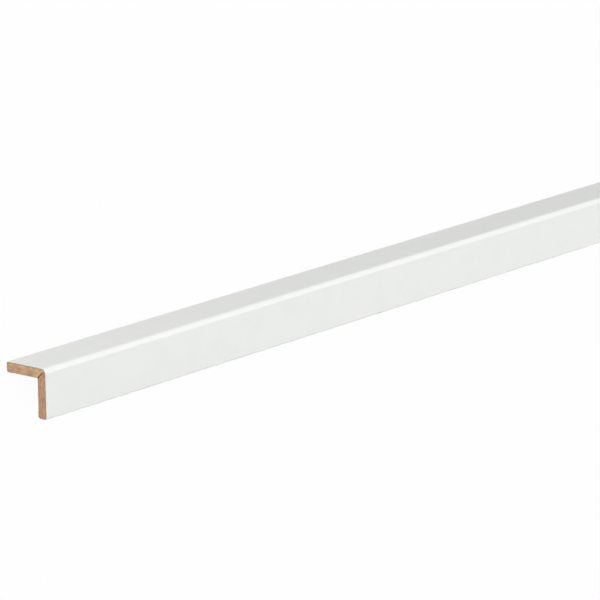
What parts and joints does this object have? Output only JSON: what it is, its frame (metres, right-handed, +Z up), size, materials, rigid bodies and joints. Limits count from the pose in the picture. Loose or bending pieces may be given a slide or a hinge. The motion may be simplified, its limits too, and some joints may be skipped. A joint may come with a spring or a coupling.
{
  "type": "corner guard moulding",
  "caption": "White foil-wrapped fibreboard angle moulding that covers and protects an outside wall corner.",
  "frame": {"origin": "on the floor that the two free edges rest on, under the corner, at the middle of the length", "axes": "+Y along the moulding, away from the end that the picture shows; +Z up through the corner, midway between the legs; +X to the right leg"},
  "size_m": [0.0386, 2.4, 0.0222],
  "materials": {
    "mdf": "bare medium-density fibreboard, sawn ends",
    "foil": "white satin decor foil",
    "glue": "set brown glue line"
  },
  "bodies": {
    "root": {"mdf_leg_left": "mdf", "mdf_leg_right": "mdf", "white_foil": "foil", "mitre_glue": "glue"}
  },
  "joints": []
}
